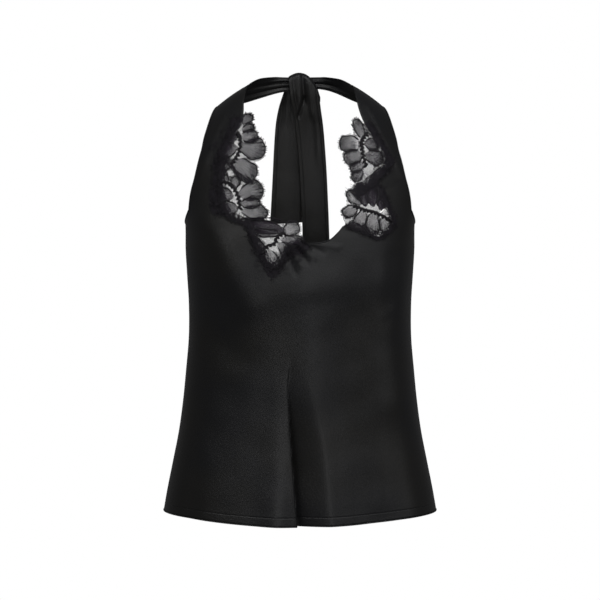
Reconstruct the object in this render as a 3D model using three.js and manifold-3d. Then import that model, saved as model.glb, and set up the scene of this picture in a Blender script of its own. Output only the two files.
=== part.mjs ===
// A black satin halter neck top with a lace neckline, in the hollow shape that it takes when worn.
// Millimetres, +Z up, the front faces -Y. The origin is where the knot rests on the nape of the neck.
//
// The pieces that a maker cuts and sews: a front with a bib that runs up to the shoulders, a low back,
// two neck bands that meet in a knot at the nape, the two tie ends that hang from it, and three pieces
// of scalloped lace along the neckline. Every piece is a wall of cloth worked out from the form below.
import * as THREE from "three";
import { mergeVertices } from "three/addons/utils/BufferGeometryUtils.js";
import Module from "manifold-3d";

const wasm = await Module();
wasm.setup();

// Driving sizes

const CLOTH = 1.2; // wall of every satin piece
const LACE = 1.0; // wall of the lace
const SEAM_GAP = 0.3; // between two pieces that are sewn together
const SHOULDER_GAP = 1.1; // between bib and neck band at the outer face, where both walls turn down
const LACE_LIFT = 0.55; // from the satin to the lace that lies on it
const NAPE = { depth: 59, height: 0 }; // the nape, behind the plane of the side seams

const UNDERARM_Z = -197.6; // where the armhole edge meets the side seam
const ARMHOLE = { across: 0.78, height: -181, sweep: 1.6 }; // where that edge turns up along a strap
const HEM = { side: -584, front: -594.5, back: -590, roundness: 3 };
const BACK_SCOOP = 132; // how far the back's top edge dips below the underarm

// The form that the cloth hangs from, in level sections of the body from the hem up.
// [height, half width, depth in front of the side seams, depth behind them]
const SECTIONS = [
  [-600, 187, 120, 118],
  [-559, 180, 116, 112],
  [-519, 172, 112, 105],
  [-478, 164, 109, 97],
  [-437, 158.4, 108, 90],
  [-396, 154.4, 109, 85],
  [-350, 150.6, 112, 83],
  [-305, 150.6, 117, 85],
  [-265, 153, 121, 89],
  [-230, 155, 121, 92],
  [-197.6, 154.8, 117, 93],
  [-180, 157, 112, 92],
  [-154, 162, 104, 90],
  [-128, 165, 95, 88],
  [-60, 171, 70, 80],
  [20, 175, 50, 70],
];
const FRONT_ROUND = 2.5; // superellipse exponents of a level section, front and back
const BACK_ROUND = 2.3;

// The shoulders, where the bib rolls over into the neck bands.
const CREST = { top: 10.1, fall: 0.00377, depth: 5 }; // ridge height = top - fall * x * x
const CHEST_SLOPE = 8.3; // how fast the chest comes forward below the ridge
const SHOULDER_ROUND = 4;

// Satin edge of the neckline under the lace, from the left strap to the right. [across, height]
const NECKLINE = [
  [-100, -177],
  [-88, -192],
  [-67, -202.5],
  [-56, -224],
  [-46, -244],
  [-37, -256],
  [-27, -251],
  [-19, -236],
  [-5, -226],
  [4, -227.5],
  [24, -227.5],
  [39, -223],
  [50, -213],
  [59, -203],
  [68, -205],
  [86, -211.5],
  [102, -218],
  [115, -210],
  [122, -199],
];

// Edges of the two straps of the bib. [share of the way up to the shoulder ridge, across]
const STRAP_OUTER = [
  [0, 148],
  [0.054, 146.8],
  [0.109, 144.4],
  [0.16, 140.8],
  [0.22, 137.7],
  [0.284, 134.6],
  [0.354, 131],
  [0.443, 128.6],
  [0.54, 125],
  [0.66, 121.2],
  [0.85, 116.3],
  [1, 112.6],
];
const STRAP_INNER_LEFT = [
  [0, 100],
  [0.1, 101.7],
  [0.2, 100.8],
  [0.28, 97],
  [0.35, 87],
  [0.44, 77],
  [0.6, 75.7],
  [1, 70.5],
];
const STRAP_INNER_RIGHT = [
  [0, 122],
  [0.05, 112],
  [0.11, 95],
  [0.18, 104],
  [0.26, 115],
  [0.33, 111],
  [0.38, 98],
  [0.45, 85],
  [0.6, 77],
  [1, 70.5],
];

// Soft folds that the bias-cut cloth falls into, front and back.
// [height where it starts, across there, across at the hem, half width, how far it stands out at the hem]
const FRONT_FOLDS = [
  [-350, -12, -27, 15, 7],
  [-345, 2, 10, 15, -7],
  [-370, 18, 41, 13, 8],
  [-400, 50, 69, 16, -4],
  [-290, 80, 96, 26, 5],
  [-400, 118, 130, 16, -3],
  [-400, -60, -68, 20, -5],
  [-330, -96, -108, 24, 5],
  [-430, -135, -146, 14, -3],
];
const BACK_FOLDS = [
  [-400, -118, -132, 20, 5],
  [-380, -78, -88, 18, -5],
  [-370, -40, -46, 18, 7],
  [-360, -5, -6, 16, -6],
  [-370, 34, 40, 20, 7],
  [-390, 78, 86, 18, -5],
  [-410, 116, 128, 20, 4],
];

// Neck bands from the shoulder ridge to the knot. The lower edge is the outer one on the shoulder.
// [share of the way, lower edge x, y, z, upper edge x, y, z]
const BAND_LEFT = [
  [0, 112.4, 5, -37.5, 70.5, 5, -8.6],
  [0.25, 101, 25, -36, 67.5, 24, -2.6],
  [0.5, 78, 44, -28.5, 55, 45, 6],
  [0.72, 50, 62, -18, 36, 63, 10.2],
  [0.86, 25, 68.5, -10.6, 24, 69, 10.6],
  [1, 4, 71, -10, 4, 71, 10.4],
];
const BAND_RIGHT = [
  [0, 112.4, 5, -37.5, 70.5, 5, -8.6],
  [0.25, 101, 25, -36, 67.5, 24, -3.4],
  [0.5, 78, 44, -27, 55, 45, 5],
  [0.72, 48, 62, -12, 36, 63, 10],
  [0.86, 28, 68.5, -6.5, 26, 69, 10.6],
  [1, 4, 71, -6, 4, 71, 10.4],
];
const BAND_PLEATS = { left: 3, right: 2, depth: 2.1 };

const KNOT = {
  centre: [2, 71, 0.5],
  half: [22, 12.5, 15],
  boxiness: 2.7,
  bump: { across: 10, width: 9, rise: 3.2 }, // where one end comes over the top
  pleat: { pitch: 9.5, depth: 0.5 },
  tunnel: { halfDepth: 6.2, halfHeight: 10.75, height: 0.3, boxiness: 4 },
};

// Tie ends below the knot. [height, left edge, right edge, depth]
const TIE_LEFT = [
  [-13.55, -24, -7.5, 73.4],
  [-30, -29.5, -8.5, 79],
  [-51, -33.7, -8, 82.5],
  [-80, -36.2, -5, 87],
  [-127, -38.6, -2.5, 93],
  [-192, -42.3, 0, 96],
];
const TIE_RIGHT = [
  [-14.8, -13, 26, 67.5],
  [-30, -11.5, 29.5, 71],
  [-56, -9.5, 32.3, 76],
  [-90, -7.5, 35.4, 81.5],
  [-127, -5.5, 37.9, 86],
  [-215, -2.5, 41.6, 91],
  [-300, -1, 43, 91.5],
];
const TIE_PLEAT = { pitch: 15, depth: 1.5, reach: 70 };

// The lace, as overlapping petals. [across, height, half width, half height, lean in degrees]
const LACE_LEFT = [
  [-70, -61, 7, 7, 0],
  [-68, -73, 7, 6, 0],
  [-66, -90, 12, 11, 30],
  [-59, -104, 13, 14, -20],
  [-70, -131, 12, 15, 25],
  [-63, -160, 15, 15, 0],
  [-60, -187, 18, 9, -12],
  [-79, -99, 9, 30, 0],
  [-85, -150, 13, 34, 0],
  [-91, -96, 10, 12, 20],
  [-93, -126, 10, 14, -10],
  [-94, -170, 12, 14, 0],
  [-84, -72, 13, 14, 30],
  [-100, -86, 13, 13, 20],
  [-110, -103, 12, 12, 0],
  [-106, -122, 10, 12, 0],
  [-106, -144, 9, 12, 0],
  [-110, -164, 11, 12, 0],
  [-110, -182, 12, 9, 0],
  [-92, -184, 13, 9, 0],
  [-79, -182, 14, 12, 0],
  [-94, -110, 10, 9, 0],
  [-99.5, -155, 7, 8, 0],
  [-71, -147, 8, 6, 0],
  [-72, -172, 7, 6, 0],
  [-71, -74, 8, 8, 0],
  [-97, -139, 5, 5, 0],
  [-86, -85, 5, 5, 0],
  [-102, -133.5, 5, 5, 0],
];
const LACE_CENTRE = [
  [-37, -208, 25, 10, -4],
  [-11, -208.5, 10.5, 10.5, 0],
  [-13, -224, 14, 7, 12],
  [-38, -243, 17, 12, -40],
  [-42, -225, 22, 15, 0],
  [-58, -222, 9, 14, 12],
  [-60, -207, 9, 8, 0],
  [-56, -238, 10, 11, 0],
  [-48, -254, 12, 11, 0],
  [-33, -264, 12, 9, 0],
  [-16, -259, 12, 10, 0],
  [-22, -239, 12, 11, 0],
  [-5, -244, 10, 10, 0],
  [4, -232, 8, 6, 0],
  [-25, -253, 6, 6, 0],
  [-15, -249, 6, 5, 0],
  [-20, -217, 7, 6, 0],
];
const LACE_RIGHT = [
  [77, -76, 6.5, 14, -8],
  [63, -97, 10, 10.5, 0],
  [69, -108, 9, 14, 15],
  [73, -124, 7, 8, 0],
  [74, -137, 6, 9, 0],
  [84, -104, 8, 28, 0],
  [93, -97, 9, 11, 0],
  [94, -113, 11, 11, 0],
  [94, -80, 10, 12, -20],
  [104, -98, 10, 12, -20],
  [113, -113, 10, 10, 0],
  [110, -126, 11, 9, 30],
  [98, -132, 12, 9, 30],
  [86, -141, 11, 11, 30],
  [79, -162, 12, 13, 15],
  [92, -155, 11, 14, 0],
  [102, -167, 12, 15, -15],
  [88, -178, 22, 12, 0],
  [65, -193, 9.5, 11.5, 0],
  [82, -195, 10.5, 14, 0],
  [99, -197, 12, 14, 0],
  [113, -195, 10, 12, -10],
  [117, -199, 8, 9, 0],
  [104, -210, 10, 7, 0],
  [83, -207, 9, 7, 0],
  [66, -202, 8, 6, 0],
  [73, -187, 4, 4, 0],
  [79, -124, 7, 11, 0],
  [91, -125, 7, 7, 0],
  [102, -121, 6, 6, 0],
  [101, -88, 5, 6, 0],
  [83.5, -77, 4, 5, 0],
  [68, -182, 4, 4, 0],
  [79.5, -149, 4, 4, 0],
  [86, -130, 6, 5, 0],
];

// Small helpers

const mix = (a, b, t) => a + (b - a) * t;
const smooth = (from, to, v) => {
  const t = Math.min(1, Math.max(0, (v - from) / (to - from)));
  return t * t * (3 - 2 * t);
};

// A smooth line through the rows of a table: its first column is the place, and column is what is read.
function through(rows, column) {
  const place = rows.map((r) => r[0]);
  const value = rows.map((r) => r[column]);
  const slope = value.map((v, i) => {
    const a = Math.max(0, i - 1);
    const b = Math.min(rows.length - 1, i + 1);
    return (value[b] - value[a]) / (place[b] - place[a]);
  });
  return (at) => {
    let i = 0;
    while (i < rows.length - 2 && at > place[i + 1]) i++;
    const w = place[i + 1] - place[i];
    const t = Math.min(1, Math.max(0, (at - place[i]) / w));
    const t2 = t * t;
    const t3 = t2 * t;
    return (
      (2 * t3 - 3 * t2 + 1) * value[i] +
      (t3 - 2 * t2 + t) * w * slope[i] +
      (3 * t2 - 2 * t3) * value[i + 1] +
      (t3 - t2) * w * slope[i + 1]
    );
  };
}

// The form

const halfWidth = through(SECTIONS, 1);
const frontDepth = through(SECTIONS, 2);
const backDepth = through(SECTIONS, 3);
const crestHeight = (x) => CREST.top - CREST.fall * x * x;
const roundOff = (share, n) => Math.pow(Math.max(0, 1 - Math.pow(Math.abs(share), n)), 1 / n);

// Depth of the front of the form at a place that is x across and z high.
function frontOfForm(x, z) {
  const share = x / halfWidth(z);
  const body = -frontDepth(z) * roundOff(share, FRONT_ROUND);
  const below = Math.sqrt(Math.max(0, crestHeight(x) - z));
  const chest = (CREST.depth - CHEST_SLOPE * below) * roundOff(share, SHOULDER_ROUND);
  return mix(body, chest, smooth(-225, -185, z));
}

// How far the folds push the cloth out, growing from where each starts down to the hem.
function foldsAt(folds, x, z) {
  return folds.reduce((sum, [start, topX, hemX, width, out]) => {
    const down = Math.min(1, Math.max(0, (start - z) / (start - HEM.side)));
    const centre = mix(topX, hemX, down);
    const spread = width * mix(0.7, 1, down);
    return sum + out * Math.pow(down, 1.3) * Math.exp(-Math.pow((x - centre) / spread, 2));
  }, 0);
}

// across runs from -1 at the left side seam, over 0 at the middle, to 1 at the right.
function frontPoint(across, z) {
  const x = halfWidth(z) * Math.sin((across * Math.PI) / 2);
  const out = foldsAt(FRONT_FOLDS, x, z) * (1 - Math.pow(Math.abs(across), 6));
  return new THREE.Vector3(x, frontOfForm(x, z) - out - SEAM_GAP / 2, z);
}

function backPoint(across, z) {
  const x = halfWidth(z) * Math.sin((across * Math.PI) / 2);
  const out = foldsAt(BACK_FOLDS, x, z) * (1 - Math.pow(Math.abs(across), 6));
  const y = backDepth(z) * roundOff(x / halfWidth(z), BACK_ROUND);
  return new THREE.Vector3(x, y + out + SEAM_GAP / 2, z);
}

// Sheets of cloth

// A sheet is its points and its four-sided faces, which are wound to face outwards.
class Sheet {
  points = [];
  faces = [];

  // Adds a grid of rows of points; each row may hold places of points that are there already.
  addGrid(rows, flip = false) {
    for (let j = 0; j < rows.length - 1; j++)
      for (let i = 0; i < rows[j].length - 1; i++) {
        const face = [rows[j][i], rows[j][i + 1], rows[j + 1][i + 1], rows[j + 1][i]];
        this.faces.push(flip ? face.reverse() : face);
      }
  }

  addRow(points) {
    return points.map((p) => this.points.push(p) - 1);
  }

  normals() {
    const sum = this.points.map(() => new THREE.Vector3());
    for (const face of this.faces) {
      const [a, b, c, d] = face.map((i) => this.points[i]);
      const normal = new THREE.Vector3().crossVectors(c.clone().sub(a), d.clone().sub(b));
      for (const i of face) sum[i].add(normal);
    }
    return sum.map((n) => n.normalize());
  }

  // The closed wall between the sheet moved out by outer and the sheet moved in by inner.
  wall(outer, inner) {
    const normals = this.normals();
    const count = this.points.length;
    const moved = (by) => this.points.map((p, i) => p.clone().addScaledVector(normals[i], by));
    const all = [...moved(outer), ...moved(-inner)];
    const triangles = [];
    const quad = (a, b, c, d) => triangles.push([a, b, c], [a, c, d]);
    const rim = new Map();
    for (const face of this.faces) {
      quad(...face);
      quad(...face.map((i) => i + count).reverse());
      face.forEach((a, k) => {
        const b = face[(k + 1) % face.length];
        if (!rim.delete(b + "," + a)) rim.set(a + "," + b, [a, b]);
      });
    }
    for (const [a, b] of rim.values()) quad(b, a, a + count, b + count);
    return geometryOf(all, triangles);
  }
}

function geometryOf(points, triangles) {
  const geometry = new THREE.BufferGeometry();
  geometry.setAttribute(
    "position",
    new THREE.Float32BufferAttribute(points.flatMap((p) => p.toArray()), 3),
  );
  geometry.setIndex(triangles.flat());
  return geometry;
}

const steps = (count, from = 0, to = 1) =>
  Array.from({ length: count + 1 }, (_, i) => mix(from, to, i / count));

// Front

const acrossAt = (x, z) => (2 / Math.PI) * Math.asin(x / halfWidth(z));
const necklineTop = through(NECKLINE.map(([x, z]) => [acrossAt(x, z), z]), 1);
const NECK_LEFT = acrossAt(...NECKLINE[0]);
const NECK_RIGHT = acrossAt(...NECKLINE.at(-1));

// Height of the front's top row: up to the straps at each side, and along the neckline between them.
function topOfFront(across) {
  const out = Math.abs(across);
  if (out > ARMHOLE.across) {
    const toward = (1 - out) / (1 - ARMHOLE.across);
    return mix(UNDERARM_Z, ARMHOLE.height, Math.pow(toward, ARMHOLE.sweep));
  }
  const [neck, height] =
    across < 0 ? [NECK_LEFT, NECKLINE[0][1]] : [NECK_RIGHT, NECKLINE.at(-1)[1]];
  if (out > Math.abs(neck))
    return mix(height, ARMHOLE.height, (across - neck) / (Math.sign(across) * ARMHOLE.across - neck));
  return necklineTop(across);
}

const hemHeight = (across, middle) =>
  mix(HEM.side, middle, Math.pow(Math.cos((across * Math.PI) / 2), HEM.roundness));

// A point on a strap of the bib: over runs from the armhole edge to the neckline, up to the ridge.
function strapPoint(side, inner, base, over, up) {
  const onForm = (x, w) => {
    const z = crestHeight(x) - w * w;
    return new THREE.Vector3(side * x, frontOfForm(x, z) - SEAM_GAP / 2, z);
  };
  const edgeDrop = (p) => Math.sqrt(crestHeight(p.x) - p.z);
  const outerX = through(STRAP_OUTER, 1);
  const innerX = through(inner, 1);
  const drop = mix(edgeDrop(base(0)), edgeDrop(base(1)), over) * (1 - up);
  const start = Math.abs(base(over).x) - mix(outerX(0), innerX(0), over);
  const x = mix(outerX(up), innerX(up), over) + start * Math.pow(1 - up, 4);
  return onForm(x, drop);
}

function makeFront() {
  const spans = [
    [3, -1, -ARMHOLE.across],
    [6, -ARMHOLE.across, NECK_LEFT],
    [26, NECK_LEFT, NECK_RIGHT],
    [6, NECK_RIGHT, ARMHOLE.across],
    [3, ARMHOLE.across, 1],
  ];
  const columns = [-1, ...spans.flatMap(([count, from, to]) => steps(count, from, to).slice(1))];
  const sheet = new Sheet();
  const rows = steps(18).map((up) =>
    sheet.addRow(
      columns.map((across) =>
        frontPoint(across, mix(hemHeight(across, HEM.front), topOfFront(across), up)),
      ),
    ),
  );
  sheet.addGrid(rows);
  const strap = (side, neck, inner, places, count) => {
    const base = (over) => {
      const across = mix(side * ARMHOLE.across, neck, over);
      return frontPoint(across, topOfFront(across));
    };
    const strapRows = [places];
    for (const up of steps(count).slice(1)) {
      const line = steps(places.length - 1).map((over) =>
        strapPoint(side, inner, base, side < 0 ? over : 1 - over, up),
      );
      strapRows.push(sheet.addRow(line));
    }
    sheet.addGrid(strapRows);
  };
  const [armCount, strapCount] = [spans[0][0], spans[1][0]];
  const topRow = rows.at(-1);
  const leftPlaces = topRow.slice(armCount, armCount + strapCount + 1);
  const rightPlaces = topRow.slice(-armCount - strapCount - 1, -armCount);
  strap(-1, NECK_LEFT, STRAP_INNER_LEFT, leftPlaces, 15);
  strap(1, NECK_RIGHT, STRAP_INNER_RIGHT, rightPlaces, 18);
  return sheet.wall(0, CLOTH);
}

// Back

const topOfBack = (across) => UNDERARM_Z - BACK_SCOOP * (1 - Math.pow(Math.abs(across), 3));

function makeBack() {
  const sheet = new Sheet();
  const rows = steps(13).map((up) =>
    sheet.addRow(
      steps(28, 1, -1).map((across) =>
        backPoint(across, mix(hemHeight(across, HEM.back), topOfBack(across), up)),
      ),
    ),
  );
  sheet.addGrid(rows);
  return sheet.wall(0, CLOTH);
}

// Neck bands

function makeBand(side, table, pleats) {
  const [lowX, lowY, lowZ, upX, upY, upZ] = [1, 2, 3, 4, 5, 6].map((c) => through(table, c));
  const point = (over, along) => {
    const p = new THREE.Vector3(
      mix(lowX(along), upX(along), over),
      mix(lowY(along), upY(along), over),
      mix(lowZ(along), upZ(along), over),
    );
    const ridgeX = mix(lowX(0), upX(0), over);
    const ridge = new THREE.Vector3(
      ridgeX,
      frontOfForm(ridgeX, crestHeight(ridgeX)) + SHOULDER_GAP - SEAM_GAP / 2,
      crestHeight(ridgeX),
    );
    const straight = new THREE.Vector3(ridgeX, lowY(0), mix(lowZ(0), upZ(0), over));
    p.add(ridge.sub(straight).multiplyScalar(Math.pow(1 - along, 3)));
    const bowed = Math.sin(Math.PI * over);
    const wave = Math.cos(2 * Math.PI * pleats * over + 0.6);
    const out = bowed * (4 * Math.sin(Math.PI * along) * (1 - along) +
      wave * BAND_PLEATS.depth * Math.pow(along, 1.4));
    const away = new THREE.Vector3(p.x, Math.max(0, p.y - 10), 0).normalize();
    return p.addScaledVector(away, out).multiply(new THREE.Vector3(side, 1, 1));
  };
  const sheet = new Sheet();
  const rows = steps(15).map((along) =>
    sheet.addRow(steps(11).map((over) => point(over, along))),
  );
  sheet.addGrid(rows, side > 0);
  return sheet.wall(0, CLOTH);
}

// Tie ends

function makeTie(table, rowCount, slant) {
  const rowsDown = [...table].reverse();
  const [leftX, rightX, depth] = [1, 2, 3].map((c) => through(rowsDown, c));
  const [top, bottom] = [table[0][0], table.at(-1)[0]];
  const sheet = new Sheet();
  const rows = steps(rowCount).map((down) => {
    const z = mix(top, bottom, down);
    const pleat = TIE_PLEAT.depth * Math.pow(1 - smooth(0, TIE_PLEAT.reach, top - z), 1);
    return sheet.addRow(
      steps(8).map((over) => {
        const x = mix(leftX(z), rightX(z), over);
        const wave = Math.cos((2 * Math.PI * x) / TIE_PLEAT.pitch) * pleat;
        const cupped = 2.5 * Math.sin(Math.PI * over);
        return new THREE.Vector3(x, depth(z) - wave + cupped, z + slant * over * down);
      }),
    );
  });
  sheet.addGrid(rows);
  return sheet.wall(0, CLOTH);
}

// Knot

function solidOf(geometry) {
  const bare = new THREE.BufferGeometry();
  bare.setAttribute("position", geometry.getAttribute("position"));
  bare.setIndex(geometry.index);
  const merged = mergeVertices(bare, 1e-4);
  return new wasm.Manifold(
    new wasm.Mesh({
      numProp: 3,
      vertProperties: merged.attributes.position.array,
      triVerts: new Uint32Array(merged.index.array),
    }),
  );
}

function geometryOfSolid(solid) {
  const mesh = solid.getMesh();
  const geometry = new THREE.BufferGeometry();
  geometry.setAttribute("position", new THREE.BufferAttribute(mesh.vertProperties, 3));
  geometry.setIndex(new THREE.BufferAttribute(mesh.triVerts, 1));
  return geometry;
}

// The folded cloth that wraps the two bands: a rounded block with pleats, open where the bands go in.
function makeKnot() {
  const ball = new THREE.SphereGeometry(1, 32, 20);
  const place = ball.getAttribute("position");
  const { half, boxiness, bump, pleat, tunnel, centre } = KNOT;
  for (let i = 0; i < place.count; i++) {
    const d = new THREE.Vector3().fromBufferAttribute(place, i);
    const size = [d.x, d.y, d.z].reduce((s, v) => s + Math.pow(Math.abs(v), boxiness), 0);
    d.multiplyScalar(Math.pow(size, -1 / boxiness));
    const x = d.x * half[0];
    const ridge = 1 - pleat.depth / half[1] + (pleat.depth / half[1]) * Math.cos((2 * Math.PI * x) / pleat.pitch);
    const rise = bump.rise * Math.exp(-Math.pow((x + centre[0] - bump.across) / bump.width, 2));
    const z = d.z * half[2] * ridge + Math.max(0, d.z) * rise;
    place.setXYZ(i, x + centre[0], d.y * half[1] * ridge + centre[1], z + centre[2]);
  }
  const mouth = new THREE.CylinderGeometry(1, 1, 4 * half[0], 20);
  mouth.rotateZ(Math.PI / 2);
  const around = mouth.getAttribute("position");
  for (let i = 0; i < around.count; i++) {
    const [y, z] = [around.getY(i), around.getZ(i)];
    const size = Math.pow(Math.abs(y), tunnel.boxiness) + Math.pow(Math.abs(z), tunnel.boxiness);
    const grow = size > 0 ? Math.pow(size, -1 / tunnel.boxiness) : 1;
    around.setXYZ(
      i,
      around.getX(i),
      y * grow * tunnel.halfDepth + centre[1],
      z * grow * tunnel.halfHeight + tunnel.height,
    );
  }
  return geometryOfSolid(solidOf(ball).subtract(solidOf(mouth)));
}

// Lace

// A wall that follows the front of the form behind a window of the given petals.
function laceGround(petals) {
  const reach = 3;
  const size = ([, , a, b]) => Math.max(a, b) + reach;
  const lowX = Math.min(...petals.map((p) => p[0] - size(p)));
  const highX = Math.max(...petals.map((p) => p[0] + size(p)));
  const lowZ = Math.min(...petals.map((p) => p[1] - size(p)));
  const highZ = Math.min(-40, Math.max(...petals.map((p) => p[1] + size(p))));
  const cell = 10;
  const sheet = new Sheet();
  const rows = steps(Math.round((highZ - lowZ) / cell), lowZ, highZ).map((z) =>
    sheet.addRow(
      steps(Math.round((highX - lowX) / cell), lowX, highX).map(
        (x) => new THREE.Vector3(x, frontOfForm(x, z) - SEAM_GAP / 2, z),
      ),
    ),
  );
  sheet.addGrid(rows);
  return solidOf(sheet.wall(LACE_LIFT + LACE, -LACE_LIFT));
}

function petalPrism([x, z, halfAcross, halfHigh, lean]) {
  const outline = new THREE.Shape();
  outline.absellipse(0, 0, halfAcross, halfHigh, 0, 2 * Math.PI, false, 0);
  const prism = new THREE.ExtrudeGeometry(outline, {
    depth: 300,
    bevelEnabled: false,
    curveSegments: 7,
  });
  prism.rotateZ(THREE.MathUtils.degToRad(lean));
  prism.rotateX(Math.PI / 2);
  prism.translate(x, 20, z);
  prism.deleteAttribute("normal");
  prism.deleteAttribute("uv");
  return solidOf(mergeVertices(prism, 1e-4));
}

function makeLace(petals) {
  const window = petals.map(petalPrism).reduce((all, p) => all.add(p));
  return geometryOfSolid(laceGround(petals).intersect(window));
}

// Assembly

const satin = () =>
  new THREE.MeshStandardMaterial({ color: 0x141415, roughness: 0.38, metalness: 0 });
const laceThread = () =>
  new THREE.MeshStandardMaterial({ color: 0x1b191d, roughness: 0.85, metalness: 0 });

const top = new THREE.Group();
const garment = new THREE.Group();
garment.position.set(0, -NAPE.depth, -NAPE.height);
top.add(garment);

function piece(name, geometry, material) {
  const mesh = new THREE.Mesh(geometry, material);
  mesh.name = name;
  garment.add(mesh);
}

piece("front", makeFront(), satin());
piece("back", makeBack(), satin());
piece("neck_band_left", makeBand(-1, BAND_LEFT, BAND_PLEATS.left), satin());
piece("neck_band_right", makeBand(1, BAND_RIGHT, BAND_PLEATS.right), satin());
piece("knot", makeKnot(), satin());
piece("tie_left", makeTie(TIE_LEFT, 14, 6), satin());
piece("tie_right", makeTie(TIE_RIGHT, 22, -8), satin());
piece("lace_left", makeLace(LACE_LEFT), laceThread());
piece("lace_centre", makeLace(LACE_CENTRE), laceThread());
piece("lace_right", makeLace(LACE_RIGHT), laceThread());

export default top;
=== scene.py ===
import math
import random

import bmesh
import bpy
from mathutils import Matrix, Vector, noise


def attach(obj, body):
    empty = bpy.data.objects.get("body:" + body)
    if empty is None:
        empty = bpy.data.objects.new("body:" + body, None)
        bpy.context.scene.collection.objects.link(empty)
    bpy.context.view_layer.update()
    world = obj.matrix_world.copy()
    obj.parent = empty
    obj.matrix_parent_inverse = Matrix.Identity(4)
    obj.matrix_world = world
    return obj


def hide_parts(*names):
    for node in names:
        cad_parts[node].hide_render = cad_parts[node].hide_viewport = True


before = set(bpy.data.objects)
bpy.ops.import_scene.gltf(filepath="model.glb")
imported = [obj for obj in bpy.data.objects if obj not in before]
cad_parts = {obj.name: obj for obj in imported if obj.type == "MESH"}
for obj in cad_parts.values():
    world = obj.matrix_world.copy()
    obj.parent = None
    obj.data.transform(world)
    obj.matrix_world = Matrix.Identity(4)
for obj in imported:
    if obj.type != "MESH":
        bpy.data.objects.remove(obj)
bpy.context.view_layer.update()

# The studio
# The top is photographed from straight in front, at half its height and 2.4 m away, in even white
# light from wide soft lamps. A pale sheet runs from the floor up behind it.

NAPE_BEHIND_SEAMS = 59


def garment(across, behind, high):
    """A place in metres, from millimetres across, behind the side seams, and above the nape."""
    return Vector((across, behind - NAPE_BEHIND_SEAMS, high)) / 1000


camera = bpy.data.objects.new("camera", bpy.data.cameras.new("camera"))
camera.data.lens = 105.9
camera.location = garment(0, -2400, -301)
camera.rotation_euler = (math.pi / 2, 0, 0)
bpy.context.scene.collection.objects.link(camera)
bpy.context.scene.camera = camera


def finished_mesh(name, shape, *materials):
    """Turns a bmesh into an object of that name, smooth shaded, with its materials."""
    mesh = bpy.data.meshes.new(name)
    shape.to_mesh(mesh)
    shape.free()
    mesh.polygons.foreach_set("use_smooth", [True] * len(mesh.polygons))
    for material in materials:
        mesh.materials.append(material)
    piece = bpy.data.objects.new(name, mesh)
    bpy.context.scene.collection.objects.link(piece)
    return piece


def make_backdrop():
    """A floor that curves up into a wall all the way round."""
    floor_height, reach, bend, wall_height = -1.4, 6.0, 1.5, 7.0
    profile = [(0.0, 0.0), (reach - bend, 0.0)]
    for turn in range(1, 10):
        angle = math.radians(10 * turn)
        profile.append((reach - bend + bend * math.sin(angle), bend * (1 - math.cos(angle))))
    profile.append((reach, wall_height))
    shape = bmesh.new()
    row = [shape.verts.new((out, 0, floor_height + up)) for out, up in profile]
    line = [shape.edges.new(pair) for pair in zip(row, row[1:])]
    bmesh.ops.spin(
        shape,
        geom=row + line,
        axis=(0, 0, 1),
        cent=(0, 0, 0),
        angle=2 * math.pi,
        steps=96,
        use_merge=True,
    )
    bmesh.ops.remove_doubles(shape, verts=shape.verts, dist=0.0001)
    bmesh.ops.recalc_face_normals(shape, faces=shape.faces)
    paper = bpy.data.materials.new("backdrop paper")
    paper.use_nodes = True
    surface = paper.node_tree.nodes["Principled BSDF"]
    surface.inputs["Base Color"].default_value = (0, 0, 0, 1)
    surface.inputs["Specular IOR Level"].default_value = 0
    surface.inputs["Emission Color"].default_value = (1, 1, 1, 1)
    surface.inputs["Emission Strength"].default_value = 1.0
    return finished_mesh("backdrop", shape, paper)


backdrop = make_backdrop()
backdrop.visible_diffuse = False
backdrop.visible_glossy = False
backdrop.visible_shadow = False
bpy.context.scene.view_settings.view_transform = "Standard"

# [name, across, behind, high, width, height, watts], in metres, each facing the middle of the top
LAMPS = [
    ["lamp_front", 0.1, -2.9, 0.05, 0.8, 3.0, 10.5],
    ["lamp_high_left", -1.3, -2.3, 0.9, 0.8, 0.8, 6],
    ["lamp_high_right", 1.3, -2.3, 0.9, 0.8, 0.8, 5],
    ["lamp_right", 2.2, -1.6, 0.1, 0.8, 1.8, 4],
    ["lamp_above", 0.1, -1.2, 1.7, 1.8, 1.0, 12],
]
for name, across, behind, high, width, height, watts in LAMPS:
    lamp = bpy.data.lights.new(name, "AREA")
    lamp.shape = "RECTANGLE"
    lamp.size = width
    lamp.size_y = height
    lamp.energy = watts
    holder = bpy.data.objects.new(name, lamp)
    holder.location = (across, behind, high)
    facing = Vector((0, 0, -0.3)) - holder.location
    holder.rotation_euler = facing.to_track_quat("-Z", "Y").to_euler()
    bpy.context.scene.collection.objects.link(holder)

sky = bpy.data.worlds.new("even white light")
sky.use_nodes = True
sky.node_tree.nodes["Background"].inputs["Color"].default_value = (1, 1, 1, 1)
sky.node_tree.nodes["Background"].inputs["Strength"].default_value = 0.09
bpy.context.scene.world = sky


# The satin
# Near-black satin, cut on the bias. It has a broad soft shine, a very fine diagonal weave, and it is
# warmer in some places than in others. Edges are stitched 5 to 10 mm in with black thread.


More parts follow.
